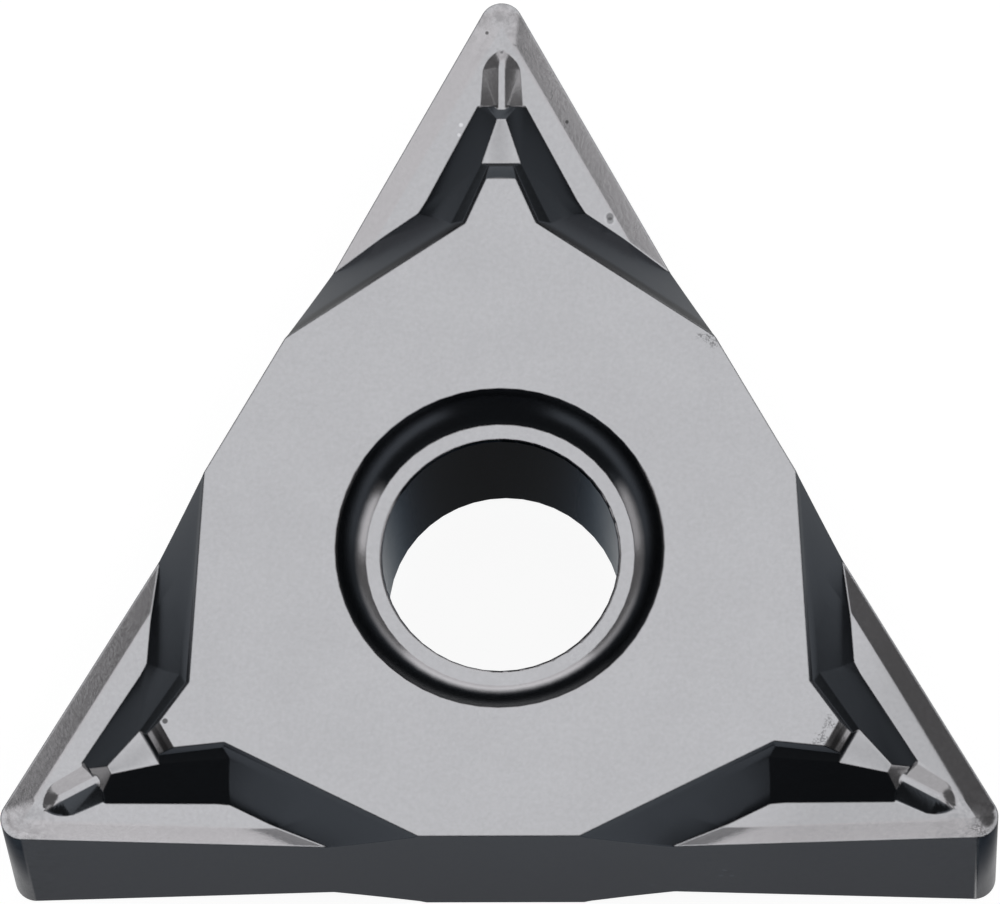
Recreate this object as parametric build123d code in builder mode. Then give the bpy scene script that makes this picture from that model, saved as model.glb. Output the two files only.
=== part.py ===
from build123d import *
import os
from math import cos, pi, radians, sin, sqrt, tan

# Triangular turning insert, pressed and sintered in one piece from tungsten carbide.
# Both faces carry the same chipbreaker, so the insert can be turned over.
# Origin: centre of the hole, halfway up. Z runs along the hole and +Y points at one nose.
# Depths are measured down from the flat clamping face.

# Outline
inscribed_circle = 9.525
thickness = 4.76
nose_radius = 0.35

# Clamping hole: at each end a dished countersink, then a flat ring with a rounded inner edge
hole_diameter = 3.81
hole_edge_radius = 0.06
ring_diameter = 4.33
ring_depth = 0.50
countersink_diameter = 5.3
dish_foot_slope = 27.0

# Steep rim that borders the clamping face
rim_depth = 0.10
rim_slope = 63.0

# Cutting edge: highest at the nose, falling in a straight line towards the middle of the side
nose_depth = 0.17
edge_fall_angle = 7.0

# Rake surface behind the cutting edge: a steep land, then a flatter groove floor
land_width = 0.36
land_angle = 20.0
floor_angle = 8.0
groove_reach = 1.5

# End of the groove, where the wall turns and runs out through the side.
# The places are distances from the middle of the side, the angles are taken from that side.
runout_top = 1.28
runout_foot = 2.76
runout_top_angle = 26.5
runout_foot_angle = 23.0

# Tongue of the clamping face that points at each cutting nose, with a bevelled tip
tongue_reach = 6.15
tongue_tip_width = 0.49
tongue_flare = 24.0
tongue_bevel_run = 0.26
tongue_bevel_slope = 25.0
tongue_riser_slope = 52.0

# Ledge along both sides of the tongue, and the breaker wall that goes on down to the floor
ledge_flare = 26.0
ledge_slope = 27.0
breaker_wall_slope = 40.5

# Step in front of the tongue
step_depth = 0.21
step_reach = 7.22
step_tip_width = 0.14
step_flare = 18.5
step_wall_slope = 36.0
step_bevel_run = 0.26
step_bevel_slope = 33.0
step_riser_slope = 68.0

# Ridge that points at the cutting nose; its crest falls away from the nose
ridge_depth = 0.26
ridge_reach = 8.10
ridge_fall_angle = 7.5
ridge_crest_width = 0.10
ridge_wall_slope = 30.0

# How far helper solids stand out past the flanks before the outline trims them
overhang = 0.2

# Derived places, as heights above the middle plane
face_height = thickness / 2
apothem = inscribed_circle / 2
rim_height = face_height - rim_depth
nose_height = face_height - nose_depth
step_height = face_height - step_depth
ridge_height = face_height - ridge_depth
ring_height = face_height - ring_depth
nose_centre = 2 * (apothem - nose_radius)
edge_start = sqrt(3) * (apothem - nose_radius)
nose_arc = 120.0
runout_fall = nose_depth + (edge_start - runout_foot) * tan(radians(edge_fall_angle))


def drop(run, slope):
    """How far a line moves aside over a run, at this angle to the run."""
    return run * tan(radians(slope))


def slope_face(x, y, z, heading, slope):
    """Plane through a point that faces along heading, taken from +Y towards +X."""
    level = sin(radians(slope))
    facing = (level * sin(radians(heading)), level * cos(radians(heading)), cos(radians(slope)))
    return Plane(origin=(x, y, z), z_dir=facing)


def trim_above(*planes):
    """Keep what lies under each of the planes."""
    for plane in planes:
        split(bisect_by=plane, keep=Keep.BOTTOM)


def trim_sides(x, y, z, heading, slope):
    """Trim one flank of a nose feature and its mirror image."""
    trim_above(slope_face(x, y, z, heading, slope), slope_face(-x, y, z, -heading, slope))


def trim_tip(y, z, bevel_run, bevel_slope, riser_slope):
    """Trim the tip of a nose feature: a bevel from its top edge, then a steeper riser."""
    bevel = slope_face(0, y, z, 0, bevel_slope)
    riser = slope_face(0, y + bevel_run, z - drop(bevel_run, bevel_slope), 0, riser_slope)
    trim_above(bevel, riser)


def nose_block(height, back, front):
    """Block on the middle plane that reaches out towards the nose."""
    with Locations((0, back, 0)):
        Box(inscribed_circle, front - back, height, align=(Align.CENTER, Align.MIN, Align.MIN))


def plateau_corners(distance, angle):
    """Six corners of the plateau outline: one behind each nose, one outside each side.

    Its edges cross the sides at this distance from their middles, at this angle to them.
    """
    lean = tan(radians(angle))
    beside = apothem + lean * distance
    behind_nose = 2 / sqrt(3) * beside / (lean + 1 / sqrt(3))
    corners = []
    for turn in range(3):
        for length, start in ((beside, 30), (behind_nose, 90)):
            bearing = radians(start + 120 * turn)
            corners.append((length * cos(bearing), length * sin(bearing)))
    return corners


# Outline of the insert, the full thickness
with BuildPart() as blank:
    with BuildSketch() as triangle:
        RegularPolygon(apothem, 3, major_radius=False, rotation=90)
        fillet(triangle.vertices(), radius=nose_radius)
    extrude(amount=face_height, both=True)

# Plateau: the clamping face, its rim, then the slightly twisted walls at the groove ends.
# Each corner of those walls moves out in a straight line on the way down to the middle plane.
rim_width = rim_depth / tan(radians(rim_slope))
rim_foot = runout_top + rim_width / sin(radians(runout_top_angle))
face_corners = plateau_corners(runout_top, runout_top_angle)
rim_corners = plateau_corners(rim_foot, runout_top_angle)
foot_corners = plateau_corners(runout_foot, runout_foot_angle)
descent = rim_height / (runout_fall - rim_depth)
base_corners = [
    (rim[0] + descent * (foot[0] - rim[0]), rim[1] + descent * (foot[1] - rim[1]))
    for rim, foot in zip(rim_corners, foot_corners)
]
with BuildPart() as plateau:
    for height, corners in (
        (face_height, face_corners),
        (rim_height, rim_corners),
        (0, base_corners),
    ):
        with BuildSketch(Plane.XY.offset(height)):
            Polygon(*corners, align=None)
    loft(ruled=True)

# Section across the groove, square to the side where the nose arc begins: x in, y down
edge_x = apothem * cos(pi / 6) - edge_start / 2
edge_y = apothem / 2 + edge_start * cos(pi / 6)
inwards = (-cos(pi / 6), -0.5, 0)
along_side = (0.5, -cos(pi / 6), 0)
section = Plane(origin=(edge_x, edge_y, nose_height), x_dir=inwards, z_dir=along_side)
land_drop = drop(land_width, land_angle)
floor_drop = land_drop + drop(groove_reach - land_width, floor_angle)
groove_section = [
    (-overhang, -drop(overhang, land_angle)),
    (land_width, land_drop),
    (groove_reach, floor_drop),
    (groove_reach, nose_height),
    (-overhang, nose_height),
]

# Groove beside one cutting edge, falling from its nose to the middle of the side
with BuildPart() as groove:
    with BuildSketch(section):
        Polygon(*groove_section, align=None)
    fall = drop(edge_start, edge_fall_angle)
    falling = (edge_start / 2, -edge_start * cos(pi / 6), -fall)
    extrude(amount=sqrt(edge_start**2 + fall**2), dir=falling)

# Rake surface round the nose: the same section turned about the centre of the nose arc
with BuildPart() as nose_land:
    with BuildSketch(section):
        Polygon(*groove_section, align=None)
        with Locations((nose_radius, 0)):
            Rectangle(
                inscribed_circle,
                inscribed_circle,
                align=(Align.MAX, Align.CENTER),
                mode=Mode.INTERSECT,
            )
    revolve(axis=Axis((0, nose_centre, 0), (0, 0, 1)), revolution_arc=nose_arc)

# Ridge: a narrow crest with sloping flanks that falls back from a half round tip
crest_edge = ridge_crest_width / 2
ridge_base = crest_edge + ridge_height / tan(radians(ridge_wall_slope))
ridge_end = Plane.XZ.offset(-ridge_reach)
ridge_flank = [(0, 0), (ridge_base, 0), (crest_edge, ridge_height), (0, ridge_height)]
with BuildPart() as ridge:
    with BuildSketch(ridge_end):
        Polygon(*ridge_flank, align=None)
        mirror(about=Plane.YZ)
    ridge_length = ridge_reach - tongue_reach
    backwards = (0, -1, -drop(1, ridge_fall_angle))
    extrude(amount=ridge_length / cos(radians(ridge_fall_angle)), dir=backwards)
    with BuildSketch(ridge_end):
        Polygon(*ridge_flank, align=None)
    revolve(axis=Axis((0, ridge_reach, 0), (0, 0, 1)), revolution_arc=180)

# Step in front of the tongue: sloping walls, and a bevelled tip over a short riser
with BuildPart() as step:
    nose_block(step_height, apothem / 2, nose_centre)
    trim_sides(step_tip_width / 2, step_reach, step_height, 90 - step_flare, step_wall_slope)
    trim_tip(step_reach, step_height, step_bevel_run, step_bevel_slope, step_riser_slope)

# Tongue of the plateau, with the rim along its sides and the same kind of tip as the step
with BuildPart() as tongue:
    nose_block(face_height, 0, nose_centre)
    trim_sides(tongue_tip_width / 2, tongue_reach, face_height, 90 - tongue_flare, rim_slope)
    trim_tip(tongue_reach, face_height, tongue_bevel_run, tongue_bevel_slope, tongue_riser_slope)

# Ledge along both sides of the tongue, then the breaker wall on down to the floor. They part
# at the step's height, from the corner where the tongue's riser lands on the step's edge.
riser_drop = step_depth - drop(tongue_bevel_run, tongue_bevel_slope)
corner_y = tongue_reach + tongue_bevel_run + riser_drop / tan(radians(tongue_riser_slope))
corner_x = step_tip_width / 2 + drop(step_reach - corner_y, step_flare)
with BuildPart() as ledge:
    nose_block(face_height, 0, nose_centre)
    trim_sides(corner_x, corner_y, step_height, 90 - ledge_flare, ledge_slope)
    trim_sides(corner_x, corner_y, step_height, 90 - ledge_flare, breaker_wall_slope)
    trim_tip(tongue_reach, face_height, tongue_bevel_run, tongue_bevel_slope, tongue_riser_slope)

# Upper half of the insert: every form round each of the three noses, trimmed to the outline
with BuildPart() as upper_half:
    add(plateau.part)
    with PolarLocations(0, 3):
        add([groove.part, groove.part.mirror(Plane.YZ), nose_land.part, ridge.part])
        add([step.part, ledge.part, tongue.part])
    add(blank.part, mode=Mode.INTERSECT)
    split(bisect_by=Plane.XY, keep=Keep.TOP)

# Whole insert: the lower half mirrors the upper, and the hole goes through both
bore_radius = hole_diameter / 2
ring_radius = ring_diameter / 2
mouth_radius = countersink_diameter / 2
above = face_height + overhang
with BuildPart() as insert:
    add(upper_half.part)
    mirror(about=Plane.XY)
    with BuildSketch(Plane.XZ):
        with BuildLine():
            wall = Line((bore_radius, 0), (bore_radius, ring_height - hole_edge_radius))
            hole_edge = TangentArc(
                wall @ 1,
                (bore_radius + hole_edge_radius, ring_height),
                tangent=wall % 1,
            )
            ring = Line(hole_edge @ 1, (ring_radius, ring_height))
            dish = TangentArc(
                ring @ 1,
                (mouth_radius, face_height),
                tangent=(1, drop(1, dish_foot_slope)),
            )
            Polyline(dish @ 1, (mouth_radius, above), (0, above), (0, 0), wall @ 0)
        make_face()
        mirror(about=Plane.XZ)
    revolve(axis=Axis.Z, mode=Mode.SUBTRACT)

insert.part.label = "insert"
os.makedirs("parts", exist_ok=True)
export_step(insert.part, "parts/insert.step")
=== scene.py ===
from math import acos, copysign, cos, degrees, hypot, pi, radians, sin, tan

import bmesh
import bpy
from mathutils import Euler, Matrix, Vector


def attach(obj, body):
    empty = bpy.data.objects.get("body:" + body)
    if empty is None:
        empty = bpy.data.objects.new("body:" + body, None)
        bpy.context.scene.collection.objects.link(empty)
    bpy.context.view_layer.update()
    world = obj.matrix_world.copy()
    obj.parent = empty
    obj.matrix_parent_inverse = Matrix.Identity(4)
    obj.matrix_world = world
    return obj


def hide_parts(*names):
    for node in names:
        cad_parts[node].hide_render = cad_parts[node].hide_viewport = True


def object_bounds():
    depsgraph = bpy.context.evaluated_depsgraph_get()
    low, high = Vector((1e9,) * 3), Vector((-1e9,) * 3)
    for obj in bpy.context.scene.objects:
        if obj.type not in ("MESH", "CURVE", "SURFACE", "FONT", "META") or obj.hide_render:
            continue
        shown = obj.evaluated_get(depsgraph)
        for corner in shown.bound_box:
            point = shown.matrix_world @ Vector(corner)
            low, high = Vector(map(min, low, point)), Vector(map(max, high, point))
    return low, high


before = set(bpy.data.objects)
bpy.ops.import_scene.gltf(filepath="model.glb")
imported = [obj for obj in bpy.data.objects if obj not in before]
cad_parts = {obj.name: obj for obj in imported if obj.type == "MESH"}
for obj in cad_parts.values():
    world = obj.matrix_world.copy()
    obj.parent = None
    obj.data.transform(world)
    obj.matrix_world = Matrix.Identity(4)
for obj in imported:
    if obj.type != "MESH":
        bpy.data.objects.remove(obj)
cad_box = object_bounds()
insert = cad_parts["insert"]

# The frame is in metres. The insert's forms and places are given in millimetres and degrees.
MM = 0.001

# Camera, fitted to the outline, the hole and both faces of the insert in the photograph
CAMERA_LENS = 512.68
CAMERA_SENSOR = 36.0
CAMERA_TURN = (0.2565626836, 0.0233599829, -0.0028215944)
CAMERA_OFFSET = (0.0476406169, -2.1394200889, -231.2325395751)
CAMERA_NEAR, CAMERA_FAR = 0.02, 50.0

# Directions, from +X towards +Y: the front, the three noses, and the front side of each of the
# two front noses, square to it
FRONT = 270
TOP_NOSE, LEFT_NOSE, RIGHT_NOSE = 90, 210, 330
FRONT_NOSES = (LEFT_NOSE, RIGHT_NOSE)
NOSES = (TOP_NOSE, *FRONT_NOSES)
FRONT_SIDES = (300, 240)

# Clean-up of the solid's mesh: points this close are one, faces this flat are one
WELD = 0.0005
FLAT_TOLERANCE = 0.4

# Edge rounding. Not rounded are the hole's edges and those between two upright faces.
EDGE_WIDTH = 0.02
EDGE_STEPS = 3
EDGE_LEAST_ANGLE = 9.0
EDGE_LEAST_LENGTH = 0.025
HOLE_EDGE_REACH = 2.0
UPRIGHT_SLOPE = 84
ROUND_PROFILE = 0.5

# Softer blend between land and groove floor, and the marks by which those edges are found
LAND_EDGE_WIDTH = 0.12
LAND_EDGE_STEPS = 4
LAND_EDGE_END = 0.4
LAND_EDGE_LEAST_ANGLE, LAND_EDGE_MOST_ANGLE = 11, 13
LAND_EDGE_LEAST_LENGTH = 2
LAND_EDGE_MOST_SLOPE = 24

# The round end of each ridge is drawn out to a point towards its nose
RIDGE_TIP = 8.10
RIDGE_TIP_RADIUS = 0.26
RIDGE_FOOT_HEIGHT, RIDGE_CREST_HEIGHT = 1.9, 2.16
RIDGE_STRETCH = 0.42
RIDGE_SHARPNESS = 0.5
RIDGE_RISE = 8.0
RIDGE_WELD = 0.012

# Margins round a ridge's end: of what is drawn out, left unrounded, and welded
STRETCH_MARGIN = -0.001
UNROUNDED_MARGIN = 0.1
WELD_MARGIN = 0.02

# Softening in the shading alone: of the edges, and of the normals by the size of the faces
SOFTNESS = 0.035
SOFTNESS_SAMPLES = 4
FACE_WEIGHT = 100

# Base colours. The ledge, wall, flank and bore colours are painted shade: the dark reflections
# of steep faces put into their colour.
FLAT_COLOUR = (0.468, 0.470, 0.489)
LAND_COLOUR = (0.476, 0.466, 0.482)
LEDGE_SHADE_COLOUR = (0.060, 0.066, 0.075)
WALL_SHADE_COLOUR = (0.041, 0.046, 0.054)
FLANK_SHADE_COLOUR = (0.036, 0.043, 0.049)
BORE_SHADE_COLOUR = (0.034, 0.044, 0.054)

# Slopes over which each of these colours takes over
LAND_SLOPES = (12.0, 19.0)
WALL_SLOPES = (28.0, 33.0)
FLANK_SLOPES = (55.0, 80.0)
BORE_SLOPES = (60.0, 75.0)

# How much of the reflection at grazing angles is kept: less on the flanks and in the bore, a
# painted shade that keeps their reflections dark
FULL_TINT = (1.0, 1.0, 1.0)
FLANK_SHADE_TINT = (0.37, 0.37, 0.38)
BORE_SHADE_TINT = (0.07, 0.11, 0.15)
FLANK_TINT_SLOPES = (55.0, 78.0)

# Slopes over which painted shade turns the pale colour dark, for the dark reflections of steep
# faces: in general, on the tips of the steps at the two front noses, in the dish round the hole,
# at the dish's lip and the hole's edge, and on the ridges. The front half of the two front
# ridges is painted dark as a shadow, the other halves are pale.
DARK_SLOPES = (22.8, 24.6)
DARK_TIP_SLOPES = (36.0, 43.0)
DARK_DISH_SLOPES = (30.0, 40.0)
DARK_LIP_SLOPES = (50.0, 62.0)
DARK_HOLE_EDGE_SLOPES = (80.0, 88.0)
PALE_RIDGE_SLOPES = (60.0, 70.0)
DARK_RIDGE_SLOPES = (11.0, 16.0)

# Limits of those parts, as distances from the hole's axis, and how softly they end
DISH_RADIUS = 2.66
LIP_RADIUS = 2.60
HOLE_EDGE_RADIUS = 1.99
BORE_RADIUS = 1.94
RIDGE_BACK = 7.49
RIDGE_FRONT = 8.44
LIMIT_BLEND = 0.02

# Which way the step tips and the back of the dish face, as the cosine to a nose and to the front
TIP_FACING = (0.90, 0.96)
FRONT_FACING = (0.42, 0.56)

# Where the front half of a ridge, painted dark as a shadow, begins beside its crest
FRONT_HALF = (0.03, 0.06)

# How far a ridge's foot stands out beside its crest, as radius less reach: over each range of
# reach the first measure gives way to the second, and the foot is where both add up
RIDGE_TAPERS = ((8.1, 8.44, 0.0056, 0.0008), (8.0, 8.1, 0.0036, 0.0))
RIDGE_TAPER_BLEND = 0.0006

# Noises: cells in a millimetre, detail and, where it isn't the usual, roughness
GRAIN_NOISE = (14.0, 6.0, 0.65)
CLOUD_NOISE = (0.8, 3.0)
BLOTCH_NOISE = (5.0, 5.0, 0.7)
CRUMB_NOISE = (36.0, 4.0)
RAGGED_NOISE = (9.0, 4.0)
PEBBLE_NOISE = (22.0, 5.0)
NOISE_RANGE = (0.3, 0.7)

# Mottling of the whole coating
GRAIN_TONES = (0.955, 1.045)
CLOUD_TONES = (0.98, 1.02)

# Painted shade: the flanks are darker below than above, towards the floor: heights, tones at
# them, and slopes of the flanks
FLANK_SHADE_HEIGHTS = (-2.4, 2.2)
FLANK_SHADE_TONES = (0.78, 1.12)
FLANK_SHADE_SLOPES = (70.0, 85.0)

# Level top of the step in front of each tongue
STEP_HEIGHT = 2.17
STEP_MARGIN = (0.01, 0.03)
STEP_SLOPES = (3.0, 6.0)
STEP_TONE = 0.72

# Painted shade of the fine steps on the tips at the two front noses, which the mesh lacks: reach
# and tone there
TIP_STEP_SHADES = (
    (6.10, 1.00),
    (6.13, 0.50),
    (6.22, 0.45),
    (6.25, 0.20),
    (6.31, 0.20),
    (6.34, 0.95),
    (6.39, 0.95),
    (6.41, 0.15),
    (6.45, 0.15),
    (6.47, 1.00),
    (7.20, 1.00),
    (7.25, 0.75),
    (7.48, 0.75),
    (7.52, 1.00),
)
TIP_TONES_START, TIP_TONES_END = 6.0, 8.0
TIP_TONE_SLOPES = (14.0, 20.0)
TIP_TONE_SIDES = (0.015, 0.03)

# Painted shade: dark band at the top of the groove end walls that face the top nose, as the
# cosine to it
RIM_FACING = (0.6, 0.75)
RIM_LEAST_SLOPES = (40.0, 48.0)
RIM_MOST_SLOPES = (66.0, 72.0)
RIM_HEIGHTS = (2.14, 2.22)
RIM_SHADE_TONE = 0.30

# Blotches at the noses: range of the noise, tones at its ends, and reach where they begin
BLOTCH_RANGE = (0.40, 0.62)
BLOTCH_TONES = (1.04, 0.72)
BLOTCH_REACHES = (8.0, 9.1)

# The rake surface at the right nose is a little darker
WORN_REACHES = (5.5, 6.5)
WORN_SLOPES = (3.0, 7.0)
WORN_TONE = 0.88

# Patches where the coating is worn to fine crumbs: place and radius
WORN_PATCHES = (
    ((3.300, 3.520, 2.380), 0.100),
    ((3.460, 3.410, 2.380), 0.100),
    ((5.300, -2.930, 2.380), 0.120),
    ((5.180, -3.170, 2.380), 0.110),
    ((7.700, -4.600, 2.150), 0.220),
)
CRUMB_RANGE = (0.47, 0.56)
CRUMB_TONES = (0.55, 1.0)
PATCH_RAGGED = 0.12
PATCH_CORE = 0.2

# Marks in the coating: place, radius and how much lighter or darker it is there
MARKS = (
    ((1.757, 5.687, 1.632), 0.125, 1.12),
    ((1.755, 5.725, 1.638), 0.075, 0.42),
    ((1.760, 5.660, 1.628), 0.068, 0.55),
    ((-0.238, 8.699, 2.107), 0.035, 0.30),
    ((1.061, 7.250, 1.898), 0.036, 0.35),
    ((-0.662, 7.223, 1.837), 0.040, 1.40),
    ((-0.694, 7.061, 1.811), 0.035, 1.35),
    ((-5.356, -2.856, 2.380), 0.055, 0.25),
    ((3.536, -4.763, -0.460), 0.050, 2.20),
    ((3.591, -4.763, -0.073), 0.050, 2.40),
    ((3.709, -4.763, -0.462), 0.050, 2.30),
    ((3.661, -4.763, -0.217), 0.040, 0.50),
    ((2.411, -4.763, -1.127), 0.045, 2.00),
)
MARK_CORE = 0.6

# Finish: roughness by slope, with a little more or less by grain, and the pebble's relief
METALLIC = 0.95
ROUGHNESS_SLOPES = (22.0, 45.0)
SLOPE_ROUGHNESS = (0.15, 0.24)
GRAIN_ROUGHNESS = (-0.02, 0.02)
PEBBLE_STRENGTH = 0.35
PEBBLE_DEPTH = 0.0015

# Floor, in metres
FLOOR_SIZE = 8.0
FLOOR_DIFFUSE = 0.20
FLOOR_GLOW = 0.91

# Softbox overhead: height in metres, and the elevations at which its four sides are seen
BOX_HEIGHT = 0.60
BOX_RADIANCE = 0.93
BOX_FRONT = 60.0
BOX_BACK = 38.0
BOX_LEFT = 61.5
BOX_RIGHT = 55.0

# Other lamps, in metres: name, centre, point that it faces, width, height and radiance
CARDS = (
    ("back panel", (0, 1.04, 0.51), (0, 0, 0.40), 1.3, 0.60, 0.68),
    ("left card", (-0.55, -0.03, 0.32), (0, 0, 0), 0.34, 0.20, 0.42),
    ("right card", (0.55, 0.02, 0.34), (0, 0, 0), 0.26, 0.22, 0.80),
)

# World by direction: backwards goes from -1 in front to 1 behind, upwards from 0 at the horizon
# to 1 overhead. Each range of backwards is followed by the strengths at its two ends.
FRONT_GAP = (-0.93, -0.87, 0.08, 1.0)
HORIZON_FALL = (-0.7, 0.6, 1.1, 0.6)
SIDE_GAP_PLACE = 0.33
SIDE_GAP = (0.05, 0.25, 0.5, 1.0)
SKY_RISE = (-0.6, -0.1, 0.09, 0.12)
HORIZON_TOP = (0.26, 0.36)

# Factors that lay a vector level, and plain white
LEVEL = (1, 1, 0)
WHITE = (1, 1, 1, 1)


def add(tree, kind, inputs=(), **settings):
    """Add a shader node and fill its sockets with values or with other nodes' outputs."""
    made = tree.nodes.new("ShaderNode" + kind)
    for name, value in settings.items():
        setattr(made, name, value)
    for name, value in dict(inputs).items():
        if isinstance(value, bpy.types.NodeSocket):
            tree.links.new(value, made.inputs[name])
        else:
            made.inputs[name].default_value = value
    return made


def calc(tree, operation, *values):
    """Result of one step of arithmetic on sockets or numbers."""
    return add(tree, "Math", dict(enumerate(values)), operation=operation).outputs[0]


def product(tree, first, *others):
    """Product of sockets or numbers."""
    for other in others:
        first = calc(tree, "MULTIPLY", first, other)
    return first


def vector(tree, operation, *values, output="Vector"):
    """Result of one step of vector arithmetic on sockets or vectors."""
    made = add(tree, "VectorMath", dict(enumerate(values)), operation=operation)
    return made.outputs[output]


def spread(tree, value, low, high, new_low, new_high, smooth=False):
    """Value moved from one range to another and kept inside it."""
    inputs = {0: value, 1: low, 2: high, 3: new_low, 4: new_high}
    kind = "SMOOTHSTEP" if smooth else "LINEAR"
    return add(tree, "MapRange", inputs, interpolation_type=kind).outputs[0]


def rising(tree, value, low, high, smooth=False):
    """Mask that goes from 0 to 1 over this range of a value."""
    return spread(tree, value, low, high, 0.0, 1.0, smooth)


def falling(tree, value, low, high):
    """Mask that goes from 1 to 0 over this range of a value."""
    return spread(tree, value, low, high, 1.0, 0.0)


def beyond(tree, value, limit):
    """Mask of what lies past a limit."""
    return rising(tree, value, limit, limit + LIMIT_BLEND)


def within(tree, value, limit):
    """Mask of what lies up to a limit."""
    return falling(tree, value, limit, limit + LIMIT_BLEND)


def choose(tree, factor, first, second):
    """Mix of two numbers."""
    return add(tree, "Mix", {0: factor, 2: first, 3: second}).outputs[0]


def blend(tree, factor, first, second):
    """Mix of two colours."""
    mix = add(tree, "Mix", {0: factor}, data_type="RGBA")
    for socket, value in ((mix.inputs[6], first), (mix.inputs[7], second)):
        if isinstance(value, bpy.types.NodeSocket):
            tree.links.new(value, socket)
        else:
            socket.default_value = (*value, 1.0)
    return mix.outputs[2]


def noise(tree, place, scale, detail, roughness=0.55):
    """Cloudy noise between about 0.3 and 0.7, with this many cells in a millimetre."""
    inputs = {"Vector": place, "Scale": scale, "Detail": detail, "Roughness": roughness}
    return add(tree, "TexNoise", inputs).outputs[0]


def new_material(name):
    """Empty node material with its output node."""
    material = bpy.data.materials.new(name)
    material.use_nodes = True
    material.node_tree.nodes.clear()
    return material, material.node_tree, add(material.node_tree, "OutputMaterial")


def reach_along(tree, place, bearings, pick="MAXIMUM"):
    """Largest reach of a vector along these level bearings, or the smallest with MINIMUM."""
    reach = None
    for bearing in bearings:
        towards = (cos(radians(bearing)), sin(radians(bearing)), 0)
        along = vector(tree, "DOT_PRODUCT", place, towards, output="Value")
        reach = along if reach is None else calc(tree, pick, reach, along)
    return reach


class Surface:
    """Sockets that say where a point of the insert is and how its surface lies there."""

    def __init__(self, tree):
        place = add(tree, "TexCoord").outputs["Object"]
        self.point = add(tree, "Mapping", {0: place, 3: (1 / MM,) * 3}).outputs[0]
        self.level = vector(tree, "MULTIPLY", self.point, LEVEL)
        self.upwards = add(tree, "SeparateXYZ", {0: self.point}).outputs[2]
        self.height = calc(tree, "ABSOLUTE", self.upwards)
        self.radius = vector(tree, "LENGTH", self.level, output="Value")
        self.reach = reach_along(tree, self.level, NOSES)
        self.beside = calc(tree, "SUBTRACT", self.radius, self.reach)

        soft = add(tree, "Bevel", {"Radius": SOFTNESS * MM}, samples=SOFTNESS_SAMPLES)
        self.normal = soft.outputs[0]
        self.heading = vector(tree, "NORMALIZE", vector(tree, "MULTIPLY", self.normal, LEVEL))
        upright = calc(tree, "ABSOLUTE", add(tree, "SeparateXYZ", {0: self.normal}).outputs[2])
        tilt = calc(tree, "ARCCOSINE", calc(tree, "MINIMUM", upright, 1.0))
        self.slope = calc(tree, "DEGREES", tilt)

        self.on_tip = rising(tree, reach_along(tree, self.heading, FRONT_NOSES), *TIP_FACING)
        self.in_bore = product(
            tree,
            within(tree, self.radius, BORE_RADIUS),
            rising(tree, self.slope, *BORE_SLOPES),
        )


def on_ridges(tree, at):
    """Mask of the ridges, up to the foot of their drawn-out ends."""
    foot = calc(tree, "ADD", *(spread(tree, at.reach, *taper) for taper in RIDGE_TAPERS))
    past_foot = calc(tree, "SUBTRACT", at.beside, foot)
    return product(
        tree,
        beyond(tree, at.reach, RIDGE_BACK),
        within(tree, at.reach, RIDGE_FRONT),
        falling(tree, past_foot, -RIDGE_TAPER_BLEND, RIDGE_TAPER_BLEND),
    )


def painted_shade_mask(tree, at):
    """Mask of painted shade: steep faces whose dark reflections are painted into their colour.
    """
    wall = rising(tree, at.slope, *DARK_SLOPES, True)
    tip = rising(tree, at.slope, *DARK_TIP_SLOPES, True)
    dish = rising(tree, at.slope, *DARK_DISH_SLOPES, True)
    lip = rising(tree, at.slope, *DARK_LIP_SLOPES, True)
    hole_edge = rising(tree, at.slope, *DARK_HOLE_EDGE_SLOPES, True)
    pale_half = rising(tree, at.slope, *PALE_RIDGE_SLOPES, True)
    dark_half = rising(tree, at.slope, *DARK_RIDGE_SLOPES, True)

    dish = choose(tree, beyond(tree, at.radius, LIP_RADIUS), dish, lip)
    dish = choose(tree, within(tree, at.radius, HOLE_EDGE_RADIUS), dish, hole_edge)
    faces_front = rising(tree, reach_along(tree, at.heading, (FRONT,)), *FRONT_FACING)
    dish = choose(tree, faces_front, dish, wall)
    # Painted shadow: the front half of the two front ridges is dark
    front_half = rising(tree, reach_along(tree, at.point, FRONT_SIDES, "MINIMUM"), *FRONT_HALF)
    ridge = choose(tree, front_half, pale_half, dark_half)

    dark = choose(tree, at.on_tip, wall, tip)
    dark = choose(tree, within(tree, at.radius, DISH_RADIUS), dark, dish)
    return choose(tree, on_ridges(tree, at), dark, ridge)


def base_colour(tree, at):
    """Colour of the coating, with painted shade on steep faces, without its finer tones."""
    pale = blend(tree, rising(tree, at.slope, *LAND_SLOPES), FLAT_COLOUR, LAND_COLOUR)
    dark = blend(tree, rising(tree, at.slope, *WALL_SLOPES), LEDGE_SHADE_COLOUR, WALL_SHADE_COLOUR)
    dark = blend(tree, rising(tree, at.slope, *FLANK_SLOPES), dark, FLANK_SHADE_COLOUR)
    dark = blend(tree, at.in_bore, dark, BORE_SHADE_COLOUR)
    return blend(tree, painted_shade_mask(tree, at), pale, dark)


def toned(tree, shade, where, tone):
    """Shade with a tone laid over it inside a mask."""
    return calc(tree, "MULTIPLY", shade, choose(tree, where, 1.0, tone))


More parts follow.
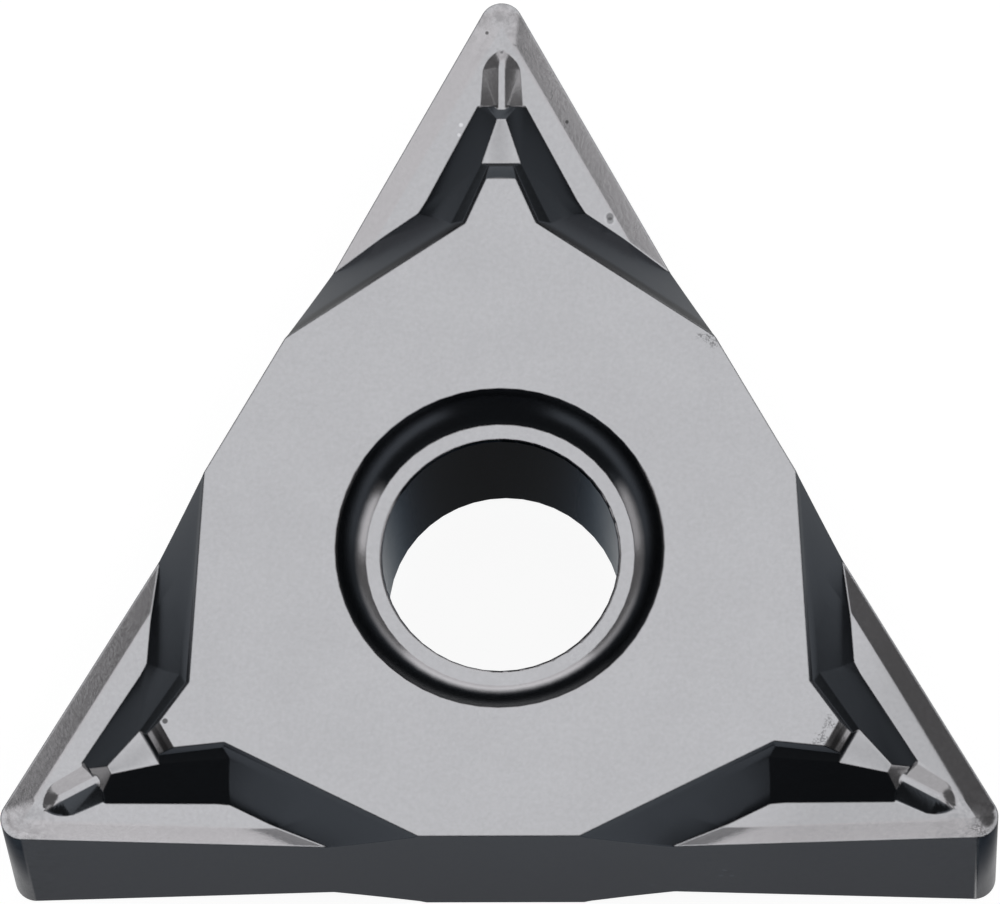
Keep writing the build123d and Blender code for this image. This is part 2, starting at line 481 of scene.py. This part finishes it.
def form_tones(tree, at, shade):
    """Shade with a form's tones: painted shade on flanks, tip steps and wall tops; darker step
    tops.
    """
    # Painted shade: the flanks darker towards the floor
    flank_shade = spread(tree, at.upwards, *FLANK_SHADE_HEIGHTS, *FLANK_SHADE_TONES)
    shade = toned(tree, shade, rising(tree, at.slope, *FLANK_SHADE_SLOPES), flank_shade)

    off_step = calc(tree, "ABSOLUTE", calc(tree, "SUBTRACT", at.height, STEP_HEIGHT))
    on_step = product(
        tree,
        falling(tree, off_step, *STEP_MARGIN),
        falling(tree, at.slope, *STEP_SLOPES),
    )
    shade = toned(tree, shade, on_step, STEP_TONE)

    # Painted shade of the fine steps on the tips, as stripes by reach
    place = rising(tree, at.reach, TIP_TONES_START, TIP_TONES_END)
    ramp = add(tree, "ValToRGB", {0: place})
    stops = ramp.color_ramp.elements
    for reach, tone in TIP_STEP_SHADES:
        stop = stops.new((reach - TIP_TONES_START) / (TIP_TONES_END - TIP_TONES_START))
        stop.color = (tone, tone, tone, 1)
    stops[0].color = stops[-1].color = WHITE
    on_tip_side = product(
        tree,
        at.on_tip,
        rising(tree, at.slope, *TIP_TONE_SLOPES),
        falling(tree, at.beside, *TIP_TONE_SIDES),
    )
    shade = toned(tree, shade, on_tip_side, ramp.outputs[0])

    # Painted shade along the top of the groove end walls
    shade_below_rim = product(
        tree,
        rising(tree, reach_along(tree, at.heading, (TOP_NOSE,)), *RIM_FACING),
        rising(tree, at.slope, *RIM_LEAST_SLOPES),
        falling(tree, at.slope, *RIM_MOST_SLOPES),
        rising(tree, at.height, *RIM_HEIGHTS, True),
    )
    return toned(tree, shade, shade_below_rim, RIM_SHADE_TONE)


def wear_tones(tree, at, shade):
    """Shade with the blotches, the worn places and the marks."""
    blotches = spread(tree, noise(tree, at.point, *BLOTCH_NOISE), *BLOTCH_RANGE, *BLOTCH_TONES)
    shade = toned(tree, shade, rising(tree, at.reach, *BLOTCH_REACHES, True), blotches)

    worn_side = product(
        tree,
        rising(tree, reach_along(tree, at.level, (RIGHT_NOSE,)), *WORN_REACHES),
        rising(tree, at.slope, *WORN_SLOPES),
    )
    shade = toned(tree, shade, worn_side, WORN_TONE)

    crumbs = spread(tree, noise(tree, at.point, *CRUMB_NOISE), *CRUMB_RANGE, *CRUMB_TONES)
    ragged = noise(tree, at.point, *RAGGED_NOISE)
    ragged = spread(tree, ragged, *NOISE_RANGE, -PATCH_RAGGED, PATCH_RAGGED)
    for centre, size in WORN_PATCHES:
        away = vector(tree, "DISTANCE", at.point, centre, output="Value")
        away = calc(tree, "ADD", away, ragged)
        shade = toned(tree, shade, falling(tree, away, size * PATCH_CORE, size), crumbs)

    for centre, size, tone in MARKS:
        away = vector(tree, "DISTANCE", at.point, centre, output="Value")
        mark = spread(tree, away, size * MARK_CORE, size, tone, 1.0)
        shade = calc(tree, "MULTIPLY", shade, mark)
    return shade


def coated_carbide():
    """Satin grey coating: finely mottled, with a slight pebble from the pressed grains."""
    material, tree, output = new_material("coated carbide")
    at = Surface(tree)
    grain = noise(tree, at.point, *GRAIN_NOISE)
    clouds = noise(tree, at.point, *CLOUD_NOISE)
    shade = product(
        tree,
        spread(tree, grain, *NOISE_RANGE, *GRAIN_TONES),
        spread(tree, clouds, *NOISE_RANGE, *CLOUD_TONES),
    )
    shade = wear_tones(tree, at, form_tones(tree, at, shade))
    colour = add(tree, "VectorMath", {0: base_colour(tree, at), 3: shade}, operation="SCALE")
    roughness = calc(
        tree,
        "ADD",
        spread(tree, grain, *NOISE_RANGE, *GRAIN_ROUGHNESS),
        spread(tree, at.slope, *ROUGHNESS_SLOPES, *SLOPE_ROUGHNESS),
    )
    pebble = add(
        tree,
        "Bump",
        {
            "Strength": PEBBLE_STRENGTH,
            "Distance": PEBBLE_DEPTH * MM,
            "Height": noise(tree, at.point, *PEBBLE_NOISE),
            "Normal": at.normal,
        },
    )
    # Painted shade: grazing reflection dimmed on the flanks and in the bore
    tint = blend(tree, rising(tree, at.slope, *FLANK_TINT_SLOPES), FULL_TINT, FLANK_SHADE_TINT)
    tint = blend(tree, at.in_bore, tint, BORE_SHADE_TINT)
    surface = add(
        tree,
        "BsdfPrincipled",
        {
            "Base Color": colour.outputs[0],
            "Metallic": METALLIC,
            "Roughness": roughness,
            "Normal": pebble.outputs[0],
            "Specular Tint": tint,
        },
    )
    tree.links.new(surface.outputs[0], output.inputs[0])
    return material


def nose_place(point):
    """Reach of a point along its nearest nose, its distance to the left, and the direction."""
    best = None
    for bearing in NOSES:
        towards = (cos(radians(bearing)), sin(radians(bearing)))
        reach = point.x * towards[0] + point.y * towards[1]
        side = point.y * towards[0] - point.x * towards[1]
        if best is None or reach > best[0]:
            best = (reach, side, towards)
    return best


def edge_middle(edge):
    """Point halfway along an edge."""
    return (edge.verts[0].co + edge.verts[1].co) / 2


def edge_slopes(edge):
    """Slopes of the two faces at an edge, in degrees from level."""
    return [degrees(acos(min(1.0, abs(face.normal.z)))) for face in edge.link_faces]


def at_ridge_end(point, margin):
    """Whether a point belongs to the round end of one of the ridges."""
    reach, side, towards = nose_place(point)
    ahead = RIDGE_TIP - margin < reach < RIDGE_TIP + RIDGE_TIP_RADIUS + margin
    beside = abs(side) < RIDGE_TIP_RADIUS
    return ahead and beside and RIDGE_FOOT_HEIGHT < abs(point.z) < RIDGE_CREST_HEIGHT


def point_ridges(work):
    """Draw the half round end of each ridge out to a point."""
    for vertex in work.verts:
        if at_ridge_end(vertex.co, STRETCH_MARGIN):
            reach, side, towards = nose_place(vertex.co)
            ahead = reach - RIDGE_TIP
            shift = ahead * RIDGE_STRETCH
            inwards = side * (abs(side) / hypot(ahead, side)) ** RIDGE_SHARPNESS - side
            vertex.co.x += towards[0] * shift - towards[1] * inwards
            vertex.co.y += towards[1] * shift + towards[0] * inwards
            vertex.co.z += copysign(shift * tan(radians(RIDGE_RISE)), vertex.co.z)


def round_edges(work, edges, width, steps, **settings):
    """Round these edges."""
    bmesh.ops.bevel(
        work,
        geom=edges,
        offset=width,
        offset_type="WIDTH",
        segments=steps,
        profile=ROUND_PROFILE,
        affect="EDGES",
        clamp_overlap=False,
        loop_slide=True,
        **settings,
    )
    work.normal_update()


def is_land_edge(edge):
    """Whether an edge lies between a land and its groove floor."""
    turn = degrees(edge.calc_face_angle(0))
    return (
        LAND_EDGE_LEAST_ANGLE < turn < LAND_EDGE_MOST_ANGLE
        and edge.calc_length() > LAND_EDGE_LEAST_LENGTH
        and max(edge_slopes(edge)) < LAND_EDGE_MOST_SLOPE
    )


def soften_land_edges(work):
    """Blend the land into the groove floor, up to a little way from each nose."""
    chosen = []
    for edge in list(work.edges):
        if is_land_edge(edge):
            near, far = sorted(edge.verts, key=lambda vertex: -nose_place(vertex.co)[0])
            made = bmesh.utils.edge_split(edge, near, LAND_EDGE_END / edge.calc_length())[0]
            chosen.append(made if far in made.verts else edge)
    round_edges(work, chosen, LAND_EDGE_WIDTH, LAND_EDGE_STEPS)


def is_hard(edge):
    """Whether an edge is to be rounded."""
    middle = edge_middle(edge)
    if at_ridge_end(middle, UNROUNDED_MARGIN) or min(edge_slopes(edge)) > UPRIGHT_SLOPE:
        return False
    return (
        edge.calc_face_angle(0) > radians(EDGE_LEAST_ANGLE)
        and edge.calc_length() > EDGE_LEAST_LENGTH
        and hypot(middle.x, middle.y) > HOLE_EDGE_REACH
    )


def rounded_insert():
    """Copy of the solid with its edges slightly rounded, as tumbling and honing leave them."""
    work = bmesh.new()
    work.from_mesh(insert.data)
    bmesh.ops.scale(work, vec=(1 / MM,) * 3, verts=work.verts)
    bmesh.ops.remove_doubles(work, verts=work.verts, dist=WELD)
    bmesh.ops.dissolve_limit(
        work, angle_limit=radians(FLAT_TOLERANCE), verts=work.verts, edges=work.edges
    )
    point_ridges(work)
    work.normal_update()
    soften_land_edges(work)
    hard_edges = [edge for edge in work.edges if is_hard(edge)]
    round_edges(work, hard_edges, EDGE_WIDTH, EDGE_STEPS, miter_outer="ARC")
    ends = [vertex for vertex in work.verts if at_ridge_end(vertex.co, WELD_MARGIN)]
    bmesh.ops.remove_doubles(work, verts=ends, dist=RIDGE_WELD)
    work.normal_update()
    for face in work.faces:
        face.smooth = True
    bmesh.ops.scale(work, vec=(MM,) * 3, verts=work.verts)
    mesh = bpy.data.meshes.new("insert_body")
    work.to_mesh(mesh)
    work.free()
    piece = bpy.data.objects.new("insert_body", mesh)
    bpy.context.scene.collection.objects.link(piece)
    shading = piece.modifiers.new("even shading", "WEIGHTED_NORMAL")
    shading.weight = FACE_WEIGHT
    shading.keep_sharp = True
    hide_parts("insert")
    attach(piece, "root")
    return piece


def floor_material():
    """Pale floor: diffuse for the light it gives back, and lifted to white where it is seen."""
    material, tree, output = new_material("pale floor")
    path = add(tree, "LightPath")
    seen = calc(tree, "MAXIMUM", path.outputs["Is Camera Ray"], path.outputs["Is Glossy Ray"])
    seen = calc(tree, "MAXIMUM", seen, path.outputs["Is Transmission Ray"])
    glow = add(tree, "Emission", {0: WHITE, 1: calc(tree, "MULTIPLY", seen, FLOOR_GLOW)})
    matt = add(tree, "BsdfDiffuse", {0: (FLOOR_DIFFUSE,) * 3 + (1,)})
    both = add(tree, "AddShader", {0: glow.outputs[0], 1: matt.outputs[0]})
    tree.links.new(both.outputs[0], output.inputs[0])
    return material


def lay_floor():
    """Floor at the insert's underside."""
    low = cad_box[0][2]
    half = FLOOR_SIZE / 2
    mesh = bpy.data.meshes.new("floor")
    corners = [(-half, -half, low), (half, -half, low), (half, half, low), (-half, half, low)]
    mesh.from_pydata(corners, [], [(0, 1, 2, 3)])
    floor = bpy.data.objects.new("floor", mesh)
    bpy.context.scene.collection.objects.link(floor)
    mesh.materials.append(floor_material())


def area_light(name, centre, aim, width, height, radiance):
    """Rectangular lamp of this radiance that faces a point. Height runs along the lamp's Y."""
    data = bpy.data.lights.new(name, "AREA")
    data.shape = "RECTANGLE"
    data.size = width
    data.size_y = height
    data.energy = radiance * pi * width * height
    lamp = bpy.data.objects.new(name, data)
    bpy.context.scene.collection.objects.link(lamp)
    lamp.location = centre
    lamp.rotation_euler = (Vector(aim) - Vector(centre)).to_track_quat("-Z", "Y").to_euler()


def hang_lamps():
    """Softbox overhead, panel behind and a card on either side."""
    left = -BOX_HEIGHT / tan(radians(BOX_LEFT))
    right = BOX_HEIGHT / tan(radians(BOX_RIGHT))
    front = -BOX_HEIGHT / tan(radians(BOX_FRONT))
    back = BOX_HEIGHT / tan(radians(BOX_BACK))
    centre = ((left + right) / 2, (front + back) / 2, BOX_HEIGHT)
    below = (centre[0], centre[1], 0)
    area_light("softbox", centre, below, right - left, back - front, BOX_RADIANCE)
    for card in CARDS:
        area_light(*card)


def light_world():
    """Bright horizon, with a gap in front and one on either side, under a dim sky."""
    world = bpy.data.worlds.new("studio")
    bpy.context.scene.world = world
    world.use_nodes = True
    tree = world.node_tree
    tree.nodes.clear()
    towards = add(tree, "TexCoord").outputs["Generated"]
    level = vector(tree, "NORMALIZE", vector(tree, "MULTIPLY", towards, LEVEL))
    backwards = add(tree, "SeparateXYZ", {0: level}).outputs[1]
    upwards = add(tree, "SeparateXYZ", {0: towards}).outputs[2]
    from_gap = calc(tree, "ABSOLUTE", calc(tree, "SUBTRACT", backwards, SIDE_GAP_PLACE))
    horizon = product(
        tree,
        spread(tree, backwards, *FRONT_GAP, True),
        spread(tree, backwards, *HORIZON_FALL),
        spread(tree, from_gap, *SIDE_GAP, True),
    )
    sky = spread(tree, backwards, *SKY_RISE, True)
    strength = choose(tree, rising(tree, upwards, *HORIZON_TOP, True), horizon, sky)
    light = add(tree, "Background", {0: WHITE, 1: strength})
    tree.links.new(light.outputs[0], add(tree, "OutputWorld").inputs[0])


def place_camera():
    """Camera at the photograph's viewing angle."""
    data = bpy.data.cameras.new("camera")
    data.sensor_fit = "HORIZONTAL"
    data.sensor_width = CAMERA_SENSOR
    data.lens = CAMERA_LENS
    data.clip_start = CAMERA_NEAR
    data.clip_end = CAMERA_FAR
    camera = bpy.data.objects.new("camera", data)
    bpy.context.scene.collection.objects.link(camera)
    camera.rotation_mode = "ZYX"
    camera.rotation_euler = CAMERA_TURN
    turn = Euler(CAMERA_TURN, "ZYX").to_matrix()
    camera.location = -(turn @ Vector(CAMERA_OFFSET)) * MM
    bpy.context.scene.camera = camera


body = rounded_insert()
body.data.materials.append(coated_carbide())

lay_floor()
hang_lamps()
light_world()
place_camera()

scene = bpy.context.scene
scene.view_settings.view_transform = "Standard"
